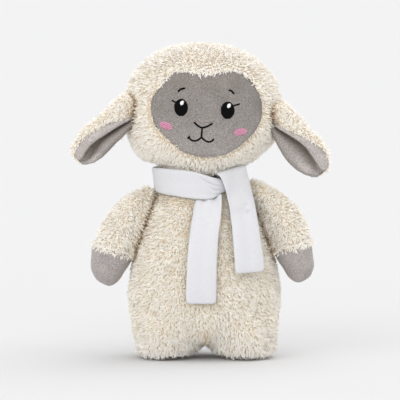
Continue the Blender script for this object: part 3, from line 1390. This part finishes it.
along, across = np.meshgrid(np.linspace(0, 1, ROWS), np.linspace(0, 1, COLUMNS), indexing="ij")
grid = end_strip(["scarf_long_tail"], LONG_EDGES, (130.9, 131.5), (47.0, 46.8), 3.0)
gather = np.exp(-np.maximum(along - 0.05, 0) / 0.09)
pleats = 1.1 * np.cos(2 * math.pi * 2.6 * across + 0.9) * gather
hollow = 0.9 * np.sin(math.pi * across) * (0.3 + 0.7 * along)
lazy = 0.5 * np.sin(5.4 * along + 1.5 * across)
tucked = (7.5 + 3 * np.abs(2 * across - 1) ** 4) * np.clip(1 - along / 0.12, 0, 1) ** 1.3
grid[:, :, 1] += (1.1 + pleats + hollow + lazy + tucked) * MM
long_end = strip("scarf_long_end", grid, -surface_normals(grid), TAIL_THICK)
dress(long_end, jersey, "long_tail", "scarf_cloth", "scarf_long_tail")
long_end.parent = None
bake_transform(long_end)

solids = ["scarf_short_tail_top", "scarf_short_tail"]
grid = end_strip(solids, SHORT_EDGES, (149.0, 155.4), (70.0, 71.6), 3.2)
hollow = 0.8 * np.sin(math.pi * across) * (0.4 + 0.6 * along)
dimple = 1.5 * np.exp(-(((along - 0.375) / 0.028) ** 2) - (((across - 0.64) / 0.12) ** 2))
dent = 0.8 * np.exp(-(((along - 0.44) / 0.05) ** 2) - (((across - 0.5) / 0.2) ** 2))
rolled = np.clip(1 - along / 0.055, 0, 1)
grid[:, :, 1] += (1.1 + hollow + dimple + dent + 3.8 * rolled**2) * MM
grid[:, :, 2] -= 1.6 * MM * rolled**2
short_end = strip("scarf_short_end", grid, -surface_normals(grid), TAIL_THICK)
dress(short_end, jersey, "short_tail", "scarf_cloth", "scarf_short_tail_top", "scarf_short_tail")
short_end.parent = None
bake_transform(short_end)

# %% Tack
tack_middle = centre_of("scarf_tack") - Vector((0.6 * MM, 0, 5.0 * MM))
short_tree = tree_of(short_end)
TACK_STEPS, TACK_SIDES = 16, 6
tack_points, tack_faces = [], []
for k in range(TACK_STEPS):
    a = 2 * math.pi * k / TACK_STEPS
    for i in range(TACK_SIDES):
        b = 2 * math.pi * i / TACK_SIDES
        r = (1.1 + 0.4 * math.cos(b)) * MM
        x, z = tack_middle.x + r * math.cos(a), tack_middle.z + r * math.sin(a)
        y = hit_y(short_tree, x, z)
        tack_points.append((x, y - (0.1 + 0.38 * math.sin(b)) * MM, z))
for k in range(TACK_STEPS):
    first, second = k * TACK_SIDES, (k + 1) % TACK_STEPS * TACK_SIDES
    for i in range(TACK_SIDES):
        j = (i + 1) % TACK_SIDES
        tack_faces += [(first + i, first + j, second + j), (first + i, second + j, second + i)]
tack = build("tack_stitch", tack_points, tack_faces)
tack_thread = thread_material("tack_thread", colour(222, 223, 227), colour(204, 205, 210))
dress(tack, tack_thread, "torso", "white_thread", "scarf_tack")

# %% [markdown]
# ## Fur of the body and head
# The body's pile is combed down, and the head's falls from the crown over the forehead and round
# the cheeks. Where cloth lies on the fur it is pressed flat, and where two filled parts meet the
# wisps part and their darker roots show.

# %% Body fur
scarf_tree = tree_of(band, long_end, short_end)
sleeve_tree = tree_of(sleeves["left"], sleeves["right"])
dress(body_skin, backing, "torso", "fur_cloth", *BODY_SOLIDS)
places, ways = spread(*surface_of(body_skin), WISP_SPACING, 11)
radius = np.hypot(places[:, 0], places[:, 1])
under_band = (places[:, 2] > 133 * MM) & (radius < 36 * MM)
under_foot = (places[:, 2] < 9 * MM) & (ways[:, 2] < -0.75)
keep = ~(under_band | under_foot)
places, ways = places[keep], ways[keep]
covered = np.zeros(len(places), bool)
for index, (p, n) in enumerate(zip(places, ways)):
    if n[1] < 0.3 and p[2] > 40 * MM:
        covered[index] = scarf_tree.ray_cast(Vector(p), Vector((0, -1, 0)), 14 * MM)[0] is not None
beside = nearness(places, scarf_tree, 6.0 * MM)
beside *= np.clip((136 * MM - places[:, 2]) / (8 * MM), 0, 1)
crease = nearness(places, sleeve_tree, 5.0 * MM)
crease *= np.clip(0.6 - places[:, 1] / (20 * MM), 0.25, 1)
across_body = places[:, 0] - 4 * MM
comb = np.stack([2.0 * across_body, np.full(len(places), -0.1), np.full(len(places), -1.0)], 1)
comb[:, 0] += 0.12 * np.sign(across_body)
low = np.clip(1 - places[:, 2] / (26 * MM), 0, 1)
lengths = 4.4 * MM * np.where(covered, 0.68, 1) * (1 + 0.12 * low)
fringe = np.clip(1.4 - places[:, 2] / (8 * MM), 0, 1)
lengths *= 1 + 0.15 * fringe
lifts = (
    np.where(covered, 30.0, 60.0 + 4 * low - 24 * fringe),
    np.where(covered, 6.0, 30.0 + 10 * low - 36 * fringe),
)
notch = swell(places, 4, 19, 4.5, 8)
tone = tones(0.86, np.maximum(crease, 0.5 * notch), 99) - 0.44 * beside * ~covered + 0.16 * low
for label, kept, seed in (("front", ways[:, 1] < 0, 120), ("back", ways[:, 1] >= 0, 140)):
    pile(
        "body_fur_" + label, "torso", places[kept], ways[kept], comb[kept], lengths[kept],
        [v[kept] for v in lifts], tone[kept], seed,
    )

# %% Head fur
dress(head_skin, backing, "head", "fur_cloth", *HEAD_SOLIDS)
ear_tree = tree_of(*ear_leaves.values())
places, ways = spread(*surface_of(head_skin), WISP_SPACING, 21)
flat = np.stack([places[:, 0] - face_middle.x, places[:, 2] - face_middle.z], 1)
direction = np.arctan2(flat[:, 1], flat[:, 0]) % (2 * math.pi)
outline = np.interp(direction, np.append(turns, 2 * math.pi), np.append(edge, edge[0]))
beyond = np.hypot(*flat.T) - outline
in_front = places[:, 1] < 0
upper = np.clip(np.sin(direction) * 2.2 - 0.5, 0, 1)
keep = ~(in_front & (beyond < (-0.4 - 0.9 * upper) * MM)) & (places[:, 2] > 146.5 * MM)
kept_values = (v[keep] for v in (places, ways, beyond, direction, in_front, upper))
places, ways, beyond, direction, in_front, upper = kept_values
x, y, z = places.T
beyond = np.maximum(beyond, 0)
rim = np.where(in_front, np.exp(-beyond / (8 * MM)), 0)
comb = np.zeros((len(places), 3))
comb[:, 0] = 1.25 * np.cos(direction) * rim * (1 - 0.8 * upper) + 14.0 * x
comb[:, 1] = 14.0 * (y - 45 * MM) * np.clip((z - 200 * MM) / (30 * MM), 0.3, 1)
comb[:, 2] = -1.0 + 0.7 * np.sin(direction) * rim * (1 - upper)
# The outermost wisps of the hole's rim lean over the velour and hide the seam.
seam = (np.exp(-((beyond / (1.6 * MM)) ** 2)) * in_front * (1 - upper))[:, None]
outward = np.stack([np.cos(direction), 0 * direction, np.sin(direction)], 1)
comb = comb * (1 - seam) - seam * outward
length = 4.3 * MM * np.where(in_front, 1 + 0.05 * upper * np.exp(-beyond / (3 * MM)), 1)
near_rim = np.where(in_front, np.exp(-((beyond / (2.5 * MM)) ** 2)), 0) * (1 - upper)
over_edge = np.where(in_front, np.exp(-((beyond / (3 * MM)) ** 2)), 0) * upper
chin = np.clip(1.6 - (z - 148 * MM) / (7 * MM), 0, 1) * in_front
crown = np.clip((z - 222 * MM) / (14 * MM), 0, 1)
lifts = (
    62 + 12 * near_rim - 6 * chin,
    34 + 16 * near_rim - 54 * over_edge - 20 * chin,
)
# The hair parts under each ear, and stands out beside it.
crease = np.where(in_front, 1.3, 0.4) * nearness(places, ear_tree, 3.4 * MM)
crease *= np.clip((209 * MM - 0.08 * x - z) / (6 * MM), 0, 1)
by_ear = nearness(places, ear_tree, 5 * MM) * (z < 200 * MM) * in_front
comb[:, 0] += 1.3 * np.sign(x) * by_ear
length *= 1 + 0.25 * by_ear + 0.2 * chin
tone = tones(0.9 + 0.08 * crown, crease, 98) - 0.05 * seam[:, 0]
for label, kept, seed in (("front", in_front, 220), ("back", ~in_front, 240)):
    pile(
        "head_fur_" + label, "head", places[kept], ways[kept], comb[kept], length[kept],
        [v[kept] for v in lifts], tone[kept], seed,
    )

# %% [markdown]
# ## Soles and what is inside
# Under each foot is a flat oval of velour. Inside the skins lie loose fibre and, in the seat, a
# bag of pellets. None of that shows, but it is shaped as what it is: lumpy masses that fill the
# skins.

# %% Soles
# From the middle below, round the edge, to the middle above: share out and share up.
SOLE_RINGS = [
    (0.0, 0.0), (0.5, 0.0), (0.9, 0.0), (0.97, 0.15), (1.0, 0.5), (0.97, 0.85), (0.9, 1.0),
    (0.5, 1.0), (0.0, 1.0),
]
SOLE_COUNT = 48
for name, _ in SIDES:
    low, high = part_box(name + "_foot_sole")
    middle = (low + high) / 2
    half_x, half_y = (high.x - low.x) / 2 - 3 * MM, (high.y - low.y) / 2 - 4 * MM
    points, faces = [], []
    for out, up in SOLE_RINGS:
        for t in np.linspace(0, 2 * math.pi, SOLE_COUNT, endpoint=False):
            x, y = middle.x + out * half_x * math.cos(t), middle.y + out * half_y * math.sin(t)
            points.append((x, y, low.z + up * (high.z - low.z)))
    for k in range(len(SOLE_RINGS) - 1):
        for i in range(SOLE_COUNT):
            a, b = k * SOLE_COUNT + i, k * SOLE_COUNT + (i + 1) % SOLE_COUNT
            faces += [(a, b + SOLE_COUNT, a + SOLE_COUNT), (a, b, b + SOLE_COUNT)]
    sole = cleaned(build(name + "_sole_cloth", points, faces), 0.01 * MM)
    dress(sole, sole_velour, "torso", "velour", name + "_foot_sole")

# %% Filling and pellets
fibre, tree, shader = material("white_fibre", 1.0)
tufts_noise = node(tree, "ShaderNodeTexNoise", {"Scale": 160.0, "Detail": 6.0, "Distortion": 2.0})
FIBRE_SHADES = [(0.3, colour(226, 226, 224)), (0.7, colour(248, 248, 246))]
tree.links.new(ramp(tree, tufts_noise.outputs["Fac"], FIBRE_SHADES), shader.inputs["Base Color"])
beads, tree, shader = material("pellet_bag_cotton", 0.8)
cells = node(tree, "ShaderNodeTexVoronoi", {"Scale": 330.0})
PELLET_SHADES = [(0.0, colour(226, 226, 222)), (0.6, colour(196, 196, 190))]
tree.links.new(ramp(tree, cells.outputs["Distance"], PELLET_SHADES), shader.inputs["Base Color"])
roughened(tree, shader, cells.outputs["Distance"], 0.6, 0.001)

# %% Masses inside
INSIDE = [
    ("body_stuffing", "body_filling", "torso", fibre, "fibre_filling", 4.5),
    ("pellet_pouch", "pellet_bag", "torso", beads, "pellets", 4.5),
    ("head_stuffing", "head_filling", "head", fibre, "fibre_filling", 4.5),
    ("left_arm_stuffing", "left_arm_filling", "left_arm", fibre, "fibre_filling", 2.0),
    ("right_arm_stuffing", "right_arm_filling", "right_arm", fibre, "fibre_filling", 2.0),
]
for name, solid, body, finish, slot, sunk in INSIDE:
    mass = smooth(joined(name, (solid,), 3 * MM), 3)
    points = points_of(mass)
    lumps = sunk * MM * (0.35 + 0.2 * waves(points, 16 * MM, 5))
    lumps += 0.4 * MM * waves(points, 5 * MM, 6)
    set_points(mass, points - normals_of(mass) * np.maximum(lumps, 0.2 * MM)[:, None])
    dress(mass, finish, body, slot, solid)
    if body in shoulder_bends:
        mass.parent = None
        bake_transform(mass)
